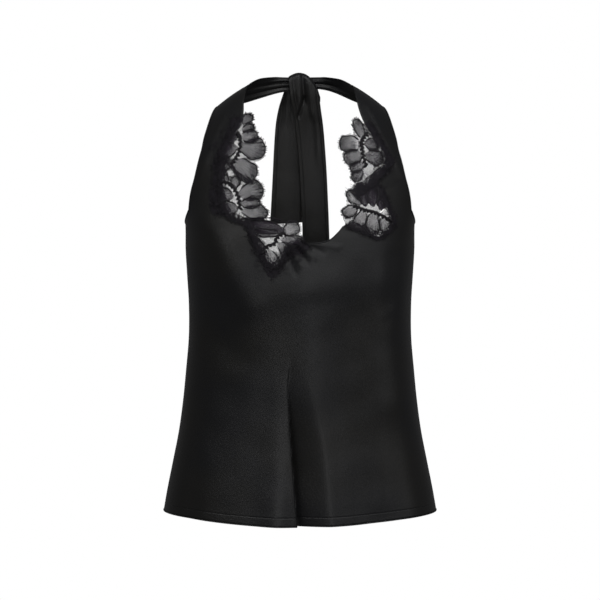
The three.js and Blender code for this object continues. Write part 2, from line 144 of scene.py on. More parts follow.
class Reading:
    """A number or colour that a finish reads; sums with it add the nodes that work them out."""

    def __init__(self, finish, socket):
        self.finish = finish
        self.socket = socket

    def sum(self, operation, *values):
        return self.finish.step("ShaderNodeMath", {"operation": operation}, dict(enumerate(values)))

    def __add__(self, other):
        return self.sum("ADD", self, other)

    def __sub__(self, other):
        return self.sum("SUBTRACT", self, other)

    def __mul__(self, other):
        return self.sum("MULTIPLY", self, other)

    def __truediv__(self, other):
        return self.sum("DIVIDE", self, other)

    __radd__ = __add__

    def under(self, limit):
        return self.sum("LESS_THAN", self, limit)

    def size(self):
        return self.sum("ABSOLUTE", self)

    def part(self):
        return self.sum("FRACT", self)

    def wave(self):
        return self.sum("SINE", self)

    def between(self, low, high):
        settings = {"clamp": True, "interpolation_type": "SMOOTHSTEP"}
        return self.finish.step("ShaderNodeMapRange", settings, {0: self, 1: low, 2: high})


class Finish:
    """A node material for one kind of cloth or thread."""

    def __init__(self, name, **constants):
        self.material = bpy.data.materials.new(name)
        self.material.use_nodes = True
        self.tree = self.material.node_tree
        self.surface = self.tree.nodes["Principled BSDF"]
        for socket, value in constants.items():
            self.surface.inputs[socket.replace("_", " ")].default_value = value

    def step(self, kind, settings, values, output=0):
        node = self.tree.nodes.new(kind)
        for setting, value in settings.items():
            setattr(node, setting, value)
        for socket, value in values.items():
            if isinstance(value, Reading):
                self.tree.links.new(value.socket, node.inputs[socket])
            else:
                node.inputs[socket].default_value = value
        return Reading(self, node.outputs[output])

    def place(self):
        return self.step("ShaderNodeTexCoord", {}, {}, "Object")

    def along_cloth(self):
        """Metres across and along the flat cloth."""
        laid = self.step("ShaderNodeTexCoord", {}, {}, "UV")
        return [self.step("ShaderNodeSeparateXYZ", {}, {0: laid}, axis) for axis in "XY"]

    def mottle(self, scale, detail=2.0):
        values = {"Vector": self.place(), "Scale": scale, "Detail": detail}
        return self.step("ShaderNodeTexNoise", {}, values, "Fac")

    def blend(self, share, first, second):
        values = {0: share, 6: first, 7: second}
        return self.step("ShaderNodeMix", {"data_type": "RGBA"}, values, 2)

    def set(self, socket, reading):
        self.tree.links.new(reading.socket, self.surface.inputs[socket])

    def relief(self, height, depth):
        values = {"Height": height, "Distance": depth, "Strength": 1.0}
        self.set("Normal", self.step("ShaderNodeBump", {}, values))


# Sewing, in metres: half the thread's width, the length of a stitch, the share of it that shows, and
# half the width of the groove that the thread pulls in the cloth. Then the pitch of the weave.
STITCH = {"thread": 0.0004, "long": 0.0026, "shows": 0.78, "groove": 0.0016}
WEAVE_PITCH = 0.0006


def stitch_line(across, along, at):
    """1 where the thread of a line of stitches lies, on the line where across is at."""
    thread = (across - at).size().under(STITCH["thread"])
    return thread * (along / STITCH["long"]).part().under(STITCH["shows"])


def make_satin(name, stitches=(), hems=()):
    """Satin with lines of stitches at these distances across it, and at these along it."""
    satin = Finish(
        name,
        IOR=1.5,
        Anisotropic=0.25,
        Sheen_Weight=0.04,
        Sheen_Roughness=0.4,
        Sheen_Tint=(0.7, 0.7, 0.75, 1),
    )
    across, along = satin.along_cloth()
    drift = satin.mottle(9).between(0.35, 0.65)
    colour = satin.blend(drift, (0.0070, 0.0072, 0.0088, 1), (0.0088, 0.0083, 0.0076, 1))
    grain = satin.mottle(1500, 1.0)
    weave = ((across + along) * (2 * math.pi / WEAVE_PITCH)).wave()
    height = grain * 0.7 + weave * 0.15 + satin.mottle(430) * 2.6
    lines = [(across, along, at) for at in stitches] + [(along, across, at) for at in hems]
    for aside, down, at in lines:
        thread = stitch_line(aside, down, at)
        groove = (aside - at).size().between(STITCH["groove"], 0)
        colour = satin.blend(thread, colour, (0.002, 0.002, 0.0025, 1))
        height = height - groove * 4.5 - thread * 3
    satin.set("Base Color", colour)
    satin.set("Roughness", 0.37 + satin.mottle(700) * 0.08)
    satin.relief(height, 0.00006)
    return satin.material


# Front
# The front is cut on the bias in one piece, with two straps that run up over the chest to the
# shoulders. It hangs loose from them in soft folds, and its narrow hem is turned up and stitched.
# Sizes are in millimetres, and heights are measured from the nape.

SATIN_WALL = 0.45
SEAM_GAP = 0.3
FLAT_HALF_WIDTH = 0.215  # of the front and the back, in metres, as cut
RIPPLE = {"long": 38, "out": 0.9}
HEM = {"side": -584, "front": -594.5, "back": -590, "roundness": 3}
UNDERARM = -197.6
ARMHOLE = {"across": 0.78, "height": -181, "sweep": 1.6}
CREST = {"top": 10.1, "fall": 0.00377, "depth": 5, "slope": 8.3}

# [height, half width, depth in front of the side seams, depth behind them]
SECTIONS = [
    [-600, 187, 120, 118],
    [-559, 180, 116, 112],
    [-519, 172, 112, 105],
    [-478, 164, 109, 97],
    [-437, 158.4, 108, 90],
    [-396, 154.4, 109, 85],
    [-350, 150.6, 112, 83],
    [-305, 150.6, 117, 85],
    [-265, 153, 121, 89],
    [-230, 155, 121, 92],
    [-197.6, 154.8, 117, 93],
    [-180, 157, 112, 92],
    [-154, 162, 104, 90],
    [-128, 165, 95, 88],
    [-60, 171, 70, 80],
    [20, 175, 50, 70],
]

# Satin edge of the neckline under the lace, from the left strap to the right. [across, height]
NECKLINE = [
    [-100, -177],
    [-88, -192],
    [-67, -202.5],
    [-56, -224],
    [-46, -244],
    [-37, -256],
    [-27, -251],
    [-19, -236],
    [-5, -226],
    [4, -227.5],
    [24, -227.5],
    [39, -223],
    [50, -213],
    [59, -203],
    [68, -205],
    [86, -211.5],
    [102, -218],
    [115, -210],
    [122, -199],
]

# Edges of the straps. [share of the way up to the shoulder, across]
STRAP_OUTER = [
    [0, 148],
    [0.054, 146.8],
    [0.109, 144.4],
    [0.16, 140.8],
    [0.22, 137.7],
    [0.284, 134.6],
    [0.354, 131],
    [0.443, 128.6],
    [0.54, 125],
    [0.66, 121.2],
    [0.85, 116.3],
    [1, 112.6],
]
STRAP_INNER_LEFT = [
    [0, 100],
    [0.1, 101.7],
    [0.2, 100.8],
    [0.28, 97],
    [0.35, 87],
    [0.44, 77],
    [0.6, 75.7],
    [1, 70.5],
]
STRAP_INNER_RIGHT = [
    [0, 122],
    [0.05, 112],
    [0.11, 95],
    [0.18, 104],
    [0.26, 115],
    [0.33, 111],
    [0.38, 98],
    [0.45, 85],
    [0.6, 77],
    [1, 70.5],
]

# Folds of the skirt. [height where it starts, across there, across at the hem, half width, out]
FRONT_FOLDS = [
    [-370, -22, -31, 22, 6.5],
    [-415, 78, 96, 26, -6.5],
    [-400, 118, 130, 16, -3],
    [-430, -135, -146, 14, -3],
]

# Crests of the deep pleat in the middle of the skirt. [height, left crest, right crest]
PLEAT_CRESTS = [
    [-605, -4, 42],
    [-578, -7, 39.5],
    [-500, -13, 32],
    [-439, -16.5, 20],
    [-400, -17, 6],
    [-372, -16, -4],
]
# It grows between two heights. It turns in over a share of its width, and rises again between two
# shares. A low ridge runs along its right crest.
PLEAT = {"from": -365, "full": -530, "deep": 26, "turn": 0.6, "rise": (-0.1, 1.05)}
PLEAT_RIDGE = {"out": 1.3, "width": 14}
# The share of the pleat's width that its left flap covers, and the heights where this starts and is full.
LEAN = {"share": 0.36, "from": -366, "full": -420}

# Softer creases of the bust and shoulders. [from across, height, to across, height, half width, out]
FRONT_CREASES = [
    [-126, -200, -70, -305, 24, 5.5],
    [-150, -305, -84, -378, 18, -1.4],
    [-40, -292, 75, -284, 20, 1.6],
    [128, -280, 136, -425, 42, 8],
    [10, -295, 25, -395, 45, 4],
    [124, -246, 116, -320, 13, -2.4],
    [136, -122, 104, -143, 4.5, 1.5],
    [140, -144, 110, -157, 4, 1.3],
    [133, -104, 112, -130, 3.5, -1.2],
    [96, -45, 131, -124, 5.5, 1.4],
    [-104, -52, -127, -118, 6, 1.2],
    [-118, -60, -140, -140, 4, -0.8],
    [150, -300, 110, -322, 8, 0.8],
    [-16, -244, -6, -266, 2.6, -1.7],
    [-10, -236, 1, -257, 2.6, 1.5],
    [-5, -233, 9, -252, 2.4, -1.7],
    [0, -230, 17, -246, 2.6, 1.5],
    [4, -228, 28, -239, 2.6, -1.7],
    [9, -225, 46, -233, 3, 1.2],
]


def mix(first, second, share):
    return first + (second - first) * share


def ease(start, end, value):
    share = min(1, max(0, (value - start) / (end - start)))
    return share * share * (3 - 2 * share)


def through(rows, column):
    """A smooth line through a table's rows: its first column is the place, column is what is read."""
    last = len(rows) - 1
    slopes = []
    for place in range(last + 1):
        before, after = rows[max(0, place - 1)], rows[min(last, place + 1)]
        slopes.append((after[column] - before[column]) / (after[0] - before[0]))

    def read(at):
        place = 0
        while place < last - 1 and at > rows[place + 1][0]:
            place += 1
        width = rows[place + 1][0] - rows[place][0]
        share = min(1, max(0, (at - rows[place][0]) / width))
        square, cube = share**2, share**3
        return (
            (2 * cube - 3 * square + 1) * rows[place][column]
            + (cube - 2 * square + share) * width * slopes[place]
            + (3 * square - 2 * cube) * rows[place + 1][column]
            + (cube - square) * width * slopes[place + 1]
        )

    return read


half_width = through(SECTIONS, 1)
front_depth = through(SECTIONS, 2)
back_depth = through(SECTIONS, 3)


def crest_height(x):
    return CREST["top"] - CREST["fall"] * x * x


def round_off(share, power):
    return max(0, 1 - abs(share) ** power) ** (1 / power)


def front_of_form(x, z):
    share = x / half_width(z)
    body = -front_depth(z) * round_off(share, 2.5)
    below = math.sqrt(max(0, crest_height(x) - z))
    chest = (CREST["depth"] - CREST["slope"] * below) * round_off(share, 4)
    return mix(body, chest, ease(-225, -185, z))


def folds_at(folds, x, z):
    out = 0
    for start, top_x, hem_x, width, most in folds:
        if z >= start:
            continue
        down = min(1, max(0, (start - z) / (start - HEM["side"])))
        centre = mix(top_x, hem_x, down)
        spread = width * mix(0.7, 1, down)
        out += most * down**1.3 * math.exp(-(((x - centre) / spread) ** 2))
    return out


def creases_at(creases, x, z):
    out = 0
    for x1, z1, x2, z2, width, most in creases:
        reach = 2.8 * width
        if abs(x - (x1 + x2) / 2) > abs(x2 - x1) / 2 + reach:
            continue
        long = math.hypot(x2 - x1, z2 - z1)
        if abs(z - (z1 + z2) / 2) > abs(z2 - z1) / 2 + reach + long * 0.5:
            continue
        along = ((x - x1) * (x2 - x1) + (z - z1) * (z2 - z1)) / long
        aside = ((x - x1) * (z2 - z1) - (z - z1) * (x2 - x1)) / long
        beyond = max(0, -along, along - long) / max(width, long * 0.2)
        out += most * math.exp(-((aside / width) ** 2) - beyond**2)
    return out


left_crest = through(PLEAT_CRESTS, 1)
right_crest = through(PLEAT_CRESTS, 2)


def pleat_at(x, z):
    """The cloth turns in sharply past its left crest, and comes out again slowly to the right one."""
    if z > PLEAT["from"]:
        return 0
    left, right = left_crest(z), right_crest(z)
    along = (x - left) / (right - left)
    inward = min(ease(0, PLEAT["turn"], along), 1 - ease(*PLEAT["rise"], along))
    ridge = math.exp(-(((x - right) / PLEAT_RIDGE["width"]) ** 2))
    return ease(PLEAT["from"], PLEAT["full"], z) * (PLEAT_RIDGE["out"] * ridge - PLEAT["deep"] * inward)


def lean_at(x, z):
    """How far the pleat's inner fold slips to the left, behind its left crest."""
    if z > LEAN["from"]:
        return 0
    left = left_crest(z)
    gap = right_crest(z) - left
    along = (x - left) / gap
    fold = ease(0, LEAN["share"], along) * (1 - ease(LEAN["share"], 1, along))
    return ease(LEAN["from"], LEAN["full"], z) * LEAN["share"] * gap * fold


def front_depth_at(x, z):
    """Depth of the satin's outer face at a place on the front."""
    edge = 1 - min(1, abs(x / half_width(z))) ** 12
    out = folds_at(FRONT_FOLDS, x, z) + creases_at(FRONT_CREASES, x, z) + pleat_at(x, z)
    ripple = noise.noise(Vector((x, 0, z)) / RIPPLE["long"]) * RIPPLE["out"]
    return front_of_form(x, z) - (out + ripple) * edge - SEAM_GAP / 2


def body_x(across, z):
    """How far out a place on the body lies: across is 0 in the middle and 1 at the side seam."""
    return half_width(z) * math.sin(across * math.pi / 2)


def front_place(across, z):
    x = body_x(across, z)
    return x - lean_at(x, z), front_depth_at(x, z), z


def across_at(x, z):
    return 2 / math.pi * math.asin(x / half_width(z))


NECK_LEFT = across_at(*NECKLINE[0])
NECK_RIGHT = across_at(*NECKLINE[-1])
neckline_height = through([[across_at(x, z), z] for x, z in NECKLINE], 1)


def top_of_front(across):
    out = abs(across)
    if out > ARMHOLE["across"]:
        toward = (1 - out) / (1 - ARMHOLE["across"])
        return mix(UNDERARM, ARMHOLE["height"], toward ** ARMHOLE["sweep"])
    side = -1 if across < 0 else 1
    neck, height = (NECK_LEFT, NECKLINE[0][1]) if side < 0 else (NECK_RIGHT, NECKLINE[-1][1])
    if out > abs(neck):
        return mix(height, ARMHOLE["height"], (across - neck) / (side * ARMHOLE["across"] - neck))
    return neckline_height(across)


def hem_height(across, middle):
    return mix(HEM["side"], middle, math.cos(across * math.pi / 2) ** HEM["roundness"])


STRAP_EDGES = {
    -1: (NECK_LEFT, through(STRAP_OUTER, 1), through(STRAP_INNER_LEFT, 1)),
    1: (NECK_RIGHT, through(STRAP_OUTER, 1), through(STRAP_INNER_RIGHT, 1)),
}


def strap_foot(side, over):
    """A place on the body's top row, where a strap begins."""
    across = mix(side * ARMHOLE["across"], STRAP_EDGES[side][0], over)
    height = top_of_front(across)
    return body_x(across, height), height


def strap_place(side, over, up):
    """A place on a strap: over runs from the armhole to the neckline, up to the shoulder."""
    outer_x, inner_x = STRAP_EDGES[side][1:]
    feet = [strap_foot(side, share) for share in (0, 1, over)]
    drops = [math.sqrt(crest_height(x) - z) for x, z in feet]
    start = abs(feet[2][0]) - mix(outer_x(0), inner_x(0), over)
    x = mix(outer_x(up), inner_x(up), over) + start * (1 - up) ** 4
    fall = mix(mix(drops[0], drops[1], over), drops[2], (1 - up) ** 6) * (1 - up)
    z = crest_height(x) - fall * fall
    return side * x, front_depth_at(side * x, z), z


def lay_cloth(shape, across, along, place, laid):
    """Adds a grid of cloth: place and laid give its point and its flat metres from two shares."""
    flat = shape.loops.layers.uv.verify()
    made = bmesh.ops.create_grid(shape, x_segments=across, y_segments=along, size=1)
    spots = {vertex: ((vertex.co.x + 1) / 2, (vertex.co.y + 1) / 2) for vertex in made["verts"]}
    faces = {face for vertex in made["verts"] for face in vertex.link_faces}
    for face in faces:
        for loop in face.loops:
            loop[flat].uv = laid(*spots[loop.vert])
    for vertex, (over, up) in spots.items():
        vertex.co = garment(*place(over, up))


def give_thickness(piece, millimetres, outward=-1):
    wall = piece.modifiers.new("wall", "SOLIDIFY")
    wall.thickness = millimetres / 1000
    wall.offset = outward
    return piece


def make_front(satin):
    shape = bmesh.new()
    spans = [-1, -ARMHOLE["across"], NECK_LEFT, NECK_RIGHT, ARMHOLE["across"], 1]
    counts = [12, 24, 112, 24, 12]
    for start, end, count in zip(spans, spans[1:], counts):

        def place(over, up, start=start, end=end):
            across = mix(start, end, over)
            return front_place(across, mix(hem_height(across, HEM["front"]), top_of_front(across), up))

        def laid(over, up, start=start, end=end):
            across = mix(start, end, over)
            return FLAT_HALF_WIDTH * across, up * (top_of_front(across) - HEM["side"]) / 1000

        lay_cloth(shape, count, 150, place, laid)
    for side in (-1, 1):

        def place(over, up, side=side):
            return strap_place(side, over if side < 0 else 1 - over, up)

        def laid(over, up, side=side):
            return side * mix(0.1, 0.15, over), 0.4 + up * 0.2

        lay_cloth(shape, 24, 90, place, laid)
    bmesh.ops.remove_doubles(shape, verts=shape.verts, dist=0.00002)
    bmesh.ops.recalc_face_normals(shape, faces=shape.faces)
    return give_thickness(finished_mesh("front_satin", shape, satin), SATIN_WALL)


front_satin = make_front(make_satin("satin of the body", hems=[0.011]))
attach(front_satin, "root")
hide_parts("front")


# Back
# The back is one low piece, sewn to the front at the side seams and scooped between the underarms.
# It hangs in the same soft folds and has the same stitched hem.

BACK_SCOOP = 132
BACK_FOLDS = [
    [-400, -118, -132, 20, 5],
    [-380, -78, -88, 18, -5],
    [-370, -40, -46, 18, 7],
    [-360, -5, -6, 16, -6],
    [-370, 34, 40, 20, 7],
    [-390, 78, 86, 18, -5],
    [-410, 116, 128, 20, 4],
]
BACK_CREASES = [
    [-120, -250, -60, -352, 14, 2.0],
    [115, -246, 62, -348, 15, 1.8],
    [-30, -372, 36, -366, 18, 1.6],
    [-142, -300, -96, -322, 8, 1.0],
    [143, -290, 98, -318, 8, 0.9],
]


def back_place(across, z):
    x = body_x(across, z)
    edge = 1 - abs(across) ** 6
    out = folds_at(BACK_FOLDS, x, z) + creases_at(BACK_CREASES, x, z)
    ripple = noise.noise(Vector((x, 90, z)) / RIPPLE["long"]) * RIPPLE["out"]
    depth = back_depth(z) * round_off(x / half_width(z), 2.3)
    return x, depth + (out + ripple) * edge + SEAM_GAP / 2, z


def top_of_back(across):
    return UNDERARM - BACK_SCOOP * (1 - abs(across) ** 3)


def make_back(satin):
    shape = bmesh.new()

    def place(over, up):
        across = mix(1, -1, over)
        return back_place(across, mix(hem_height(across, HEM["back"]), top_of_back(across), up))

    def laid(over, up):
        across = mix(1, -1, over)
        return FLAT_HALF_WIDTH * across, up * (top_of_back(across) - HEM["side"]) / 1000

    lay_cloth(shape, 140, 110, place, laid)
    bmesh.ops.recalc_face_normals(shape, faces=shape.faces)
    return give_thickness(finished_mesh("back_satin", shape, satin), SATIN_WALL)


back_satin = make_back(bpy.data.materials["satin of the body"])
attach(back_satin, "root")
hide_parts("back")


# Rolled edges
# The armholes, the top of the back and the bare part of the neckline end in a thin rolled edge of the
# same satin, turned in twice and slip-stitched. It catches the light as a fine line.

ROLL = 0.85


def make_round(name, lines, radius, roundness, material, capped=False):
    """Round rolls or threads of that radius along rows of places, as one object."""
    path = bpy.data.curves.new(name, "CURVE")
    path.dimensions = "3D"
    path.bevel_depth = radius / 1000
    path.bevel_resolution = roundness
    path.use_fill_caps = capped
    for places in lines:
        line = path.splines.new("POLY")
        line.points.add(len(places) - 1)
        for point, place in zip(line.points, places):
            point.co = (*garment(*place), 1)
        line.use_smooth = True
    path.materials.append(material)
    made = bpy.data.objects.new(name, path)
    bpy.context.scene.collection.objects.link(made)
    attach(made, "root")
    return made


def roll_edge(name, places, radius=ROLL):
    """A thin roll of cloth along a row of places."""
    satin = bpy.data.materials["satin of the body"]
    roll = make_round(name, [places], radius, 3, satin, capped=True)
    return roll


def shares(count, start=0, end=1):
    return [mix(start, end, step / count) for step in range(count + 1)]


def armhole_edge(side):
    rise = [side * across for across in shares(14, 1, ARMHOLE["across"])]
    body = [front_place(across, top_of_front(across)) for across in rise]
    return body + [strap_place(side, 0, up) for up in shares(90)[1:]]


def between(places, others, inward):
    """Places halfway between two edges that are sewn together, drawn in towards the hollow."""
    middles = [(Vector(place) + Vector(other)) / 2 for place, other in zip(places, others)]
    return [middle - Vector((middle.x, middle.y + 60, 0)).normalized() * inward for middle in middles]


def side_seam(side):
    heights = shares(120, HEM["side"], top_of_front(side))
    return between([front_place(side, z) for z in heights], [back_place(side, z) for z in heights], 0.7)


front_hem = [front_place(across, hem_height(across, HEM["front"])) for across in shares(140, -1, 1)]
back_hem = [back_place(across, hem_height(across, HEM["back"])) for across in shares(140, -1, 1)]
back_top = [back_place(across, top_of_back(across)) for across in shares(160, -1, 1)]
bare_neckline = shares(60, across_at(2, -227.5), across_at(56, -206))
neckline = [front_place(across, top_of_front(across)) for across in bare_neckline]
front_rolls = [
    roll_edge("armhole_roll_left", armhole_edge(-1)),
    roll_edge("armhole_roll_right", armhole_edge(1)),
    roll_edge("hem_roll_front", front_hem),
    roll_edge("neckline_roll", neckline, 0.7),
    roll_edge("strap_roll_left", [strap_place(-1, 1, up) for up in shares(50, 0.42, 1)], 0.7),
    roll_edge("strap_roll_right", [strap_place(1, 1, up) for up in shares(50, 0.42, 1)], 0.7),
]
back_rolls = [
    roll_edge("back_roll", back_top),
    roll_edge("hem_roll_back", back_hem),
    roll_edge("side_seam_left", side_seam(-1), 1.3),
    roll_edge("side_seam_right", side_seam(1), 1.3),
]


# Neck bands
# Each strap goes on round the neck as a band of the same satin. Its far end is drawn up in gathers
# where it goes into the knot.

BAND_FLAT = (0.048, 0.1)

# [share of the way, lower edge x, y, z, upper edge x, y, z]
BAND_LEFT = [
    [0, 112.4, 5, -37.5, 70.5, 5, -8.6],
    [0.25, 101, 25, -36, 67.5, 24, -2.6],
    [0.5, 78, 44, -28.5, 55, 45, 6],
    [0.72, 50, 62, -18, 36, 63, 10.2],
    [0.86, 25, 68.5, -10.6, 24, 69, 10.6],
    [1, 4, 71, -10, 4, 71, 10.4],
]
BAND_RIGHT = [
    [0, 112.4, 5, -37.5, 70.5, 5, -8.6],
    [0.25, 101, 25, -36, 67.5, 24, -3.4],
    [0.5, 78, 44, -27, 55, 45, 5],
    [0.72, 48, 62, -12, 36, 63, 10],
    [0.86, 28, 68.5, -6.5, 26, 69, 10.6],
    [1, 4, 71, -6, 4, 71, 10.4],
]


def band_place(side, table, edges, gathers, over, along):
    low = Vector([read(along) for read in edges[:3]])
    high = Vector([read(along) for read in edges[3:]])
    point = low.lerp(high, over)
    ridge_x = mix(table[0][1], table[0][4], over)
    ridge_z = crest_height(ridge_x)
    ridge = Vector((ridge_x, front_of_form(ridge_x, ridge_z) + SEAM_GAP / 2, ridge_z))
    straight = Vector((ridge_x, 5, mix(table[0][3], table[0][6], over)))
    point += (ridge - straight) * (1 - along) ** 3
    bow = math.sin(math.pi * over)
    deep = math.cos(2 * math.pi * gathers * over + 0.6) * 1.5 * along**1.4
    fine = math.cos(2 * math.pi * (gathers * 2.6) * over + 2.1 + along) * 0.4 * along**2.2
    out = bow * (4 * math.sin(math.pi * along) * (1 - along) + deep) + bow**0.5 * fine
    away = Vector((point.x, max(0, point.y - 10), 0)).normalized()
    point += away * out
    return side * point.x, point.y, point.z


def make_band(name, side, table, gathers, node):
    shape = bmesh.new()
    edges = [through(table, column) for column in range(1, 7)]
    lay_cloth(
        shape,
        40,
        90,
        lambda over, along: band_place(side, table, edges, gathers, over, along),
        lambda over, along: (over * BAND_FLAT[0], along * BAND_FLAT[1]),
    )
    bmesh.ops.recalc_face_normals(shape, faces=shape.faces)
    away = sum((face.normal.x * side + face.normal.y for face in shape.faces))
    if away < 0:
        bmesh.ops.reverse_faces(shape, faces=shape.faces)
    band = give_thickness(finished_mesh(name, shape, bpy.data.materials["satin of the bands"]), 1.0)
    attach(band, "root")
    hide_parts(node)
    band_end = [band_place(side, table, edges, 0, over, 0) for over in shares(24)]
    strap_end = [strap_place(side, across, 1) for across in shares(24)]
    if abs(strap_end[0][0] - band_end[0][0]) > abs(strap_end[-1][0] - band_end[0][0]):
        strap_end.reverse()
    seam = roll_edge(name + "_seam", between(band_end, strap_end, 0.4), 0.9)


make_satin("satin of the bands", stitches=[0.003, 0.045])
make_band("band_left", -1, BAND_LEFT, 3, "neck_band_left")
make_band("band_right", 1, BAND_RIGHT, 2, "neck_band_right")


# Knot and tie ends
# The bands' ends are tied once. The longer end, a straight doubled strip stitched 5 mm in from each
# edge, comes over the knot from behind, is pinched into a pleat, and hangs flat in front of the
# shorter one.

# The knot is a rounded block: half its size each way, its middle, how square it is, and its pleats.
KNOT = {"half": (19, 10.5, 12), "middle": (2, 73, -0.5), "square": 2.7, "pleat": 7.5}


def make_knot(satin):
    shape = bmesh.new()
    bmesh.ops.create_uvsphere(shape, u_segments=96, v_segments=64, radius=1)
    (wide, deep, high), (middle_x, middle_y, middle_z) = KNOT["half"], KNOT["middle"]
    for vertex in shape.verts:
        way = vertex.co.normalized()
        way *= sum(abs(part) ** KNOT["square"] for part in way) ** (-1 / KNOT["square"])
        x = way.x * wide
        slant = x + way.z * 4
        pleat = 1 + 0.06 * math.cos(2 * math.pi * slant / KNOT["pleat"]) + 0.02 * math.cos(slant * 2.1)
        vertex.co = garment(x + middle_x, way.y * deep * pleat + middle_y, way.z * high * pleat + middle_z)
    bmesh.ops.recalc_face_normals(shape, faces=shape.faces)
    return finished_mesh("knot_core", shape, satin)


# Edges of each tie end as it hangs. [height, left edge, right edge, depth]
TIE_LEFT = [
    [-194, -42.3, 6, 96.5],
    [-127, -38.6, 5, 91.5],
    [-80, -36.2, 2, 86.5],
    [-51, -33.7, -2, 83],
    [-30, -29.5, -6, 79.5],
    [-13.55, -24, -7.5, 75.5],
    [2, -18, -5, 73],
]
TIE_RIGHT = [
    [-300, -1, 43, 92.5],
    [-215, 3.5, 41.6, 87.5],
    [-127, -0.5, 37.9, 80.5],
    [-90, -3, 35.4, 76],
    [-56, -6.5, 32.3, 70],
    [-30, -10.5, 28.5, 63.5],
    [-14, -13.8, 27, 59.5],
    [4, -16, 27, 57],
    [16, -16.5, 27, 57],
]

# Top edge of the long tie where it comes over the knot. [share of its width, height]
TIE_OVER_KNOT = [[0, 10.5], [0.14, 14], [0.3, 16], [0.52, 15], [0.76, 6.7], [0.92, -4.5], [1, -17]]
OVER_KNOT = {"from": -32, "deep": 10, "high": 8, "turn": 135}

# The ties as cut: their width in metres, and in millimetres what hangs and what lies over the knot.
TIE_WIDE = 0.048
LONG_TIE = {"hangs": 268, "over": 62, "bottom": -300, "slant": -8, "share": 0.7}
SHORT_TIE = {"hangs": 196, "bottom": -194, "top": 2, "slant": 3}

# [from across, height, to across, height, half width, out]
TIE_CREASES = [
    [3, 16, 6, -20, 2.8, -2.2],
    [6, -20, -1, -42, 2.2, -1.9],
    [-2, 14, 0, -24, 3.6, 1.0],
    [-10, 12, -6.5, -18, 1.6, -0.6],
    [-6.5, -18, -2.5, -42, 1.6, -0.5],
    [13, -2, 17, -40, 4, 1.2],
    [21, -26, 25, -90, 3.5, 0.6],
    [-24, -18, -29, -60, 2.6, 0.3],
    [-17, -16, -20, -54, 2.6, -0.3],
    [-11, -16, -12, -48, 2.6, 0.25],
]
over_knot_height = through(TIE_OVER_KNOT, 1)


def tie_depth(read, x, z, over):
    low_wave = 0.35 * noise.noise(Vector((x, 40, z)) / 24)
    return read(z) - creases_at(TIE_CREASES, x, z) + low_wave + 1.6 * math.sin(math.pi * over)


def tie_place(edges, bottom, top, slant, over, down):
    left, right, depth = edges
    z = mix(top, bottom, down)
    x = mix(left(z), right(z), over)
    return x, tie_depth(depth, x, z, over), z + slant * over * down


def over_knot_place(edges, over, up):
    """The long tie's upper part: up the front of the knot, then back over its top."""
    left, right, depth = edges
    rise = over_knot_height(over) - OVER_KNOT["high"]
    z = mix(OVER_KNOT["from"], rise, min(1, up / 0.6))
    x = mix(left(z), right(z), over)
    turn = math.radians(OVER_KNOT["turn"]) * max(0, up - 0.6) / 0.4
    back = OVER_KNOT["deep"] * (1 - math.cos(turn))
    return x, tie_depth(depth, x, z, over) + back, z + OVER_KNOT["high"] * math.sin(turn)


def lay_strip(name, rows, place, flat_height, satin, node):
    """A doubled strip of cloth. flat_height gives its length in millimetres up to a share of it."""
    shape = bmesh.new()
    lay_cloth(shape, 40, rows, place, lambda over, up: (over * TIE_WIDE, flat_height(up) / 1000))
    bmesh.ops.recalc_face_normals(shape, faces=shape.faces)
    strip = give_thickness(finished_mesh(name, shape, satin), 1.1, 0)
    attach(strip, "root")
    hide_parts(node)
    flat_height(1) / 1000


def make_ties(satin):
    knot = make_knot(satin)
    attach(knot, "root")
    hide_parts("knot")
    left = [through(TIE_LEFT, column) for column in (1, 2, 3)]
    right = [through(TIE_RIGHT, column) for column in (1, 2, 3)]
    hanging = LONG_TIE["share"]

    def long_place(over, up):
        if up < hanging:
            down = 1 - up / hanging
            return tie_place(right, LONG_TIE["bottom"], OVER_KNOT["from"], LONG_TIE["slant"], over, down)
        return over_knot_place(right, over, (up - hanging) / (1 - hanging))

    def long_height(up):
        hangs = LONG_TIE["hangs"] * min(1, up / hanging)
        return hangs + LONG_TIE["over"] * max(0, (up - hanging) / (1 - hanging))

    def short_place(over, up):
        return tie_place(left, SHORT_TIE["bottom"], SHORT_TIE["top"], SHORT_TIE["slant"], over, 1 - up)

    lay_strip("tie_end_right", 200, long_place, long_height, satin, "tie_right")
    lay_strip("tie_end_left", 110, short_place, lambda up: SHORT_TIE["hangs"] * up, satin, "tie_left")


make_ties(make_satin("satin of the ties", stitches=[0.006, 0.042]))


# Lace
# Three pieces of black scalloped lace are laid on the satin's edge and stitched down. Each has a fine
# net ground, petals in closer net that fan out from a beaded stem, corded edges and a short fringe,
# with a close border over the satin's cut edge and a band where the lace is folded over.

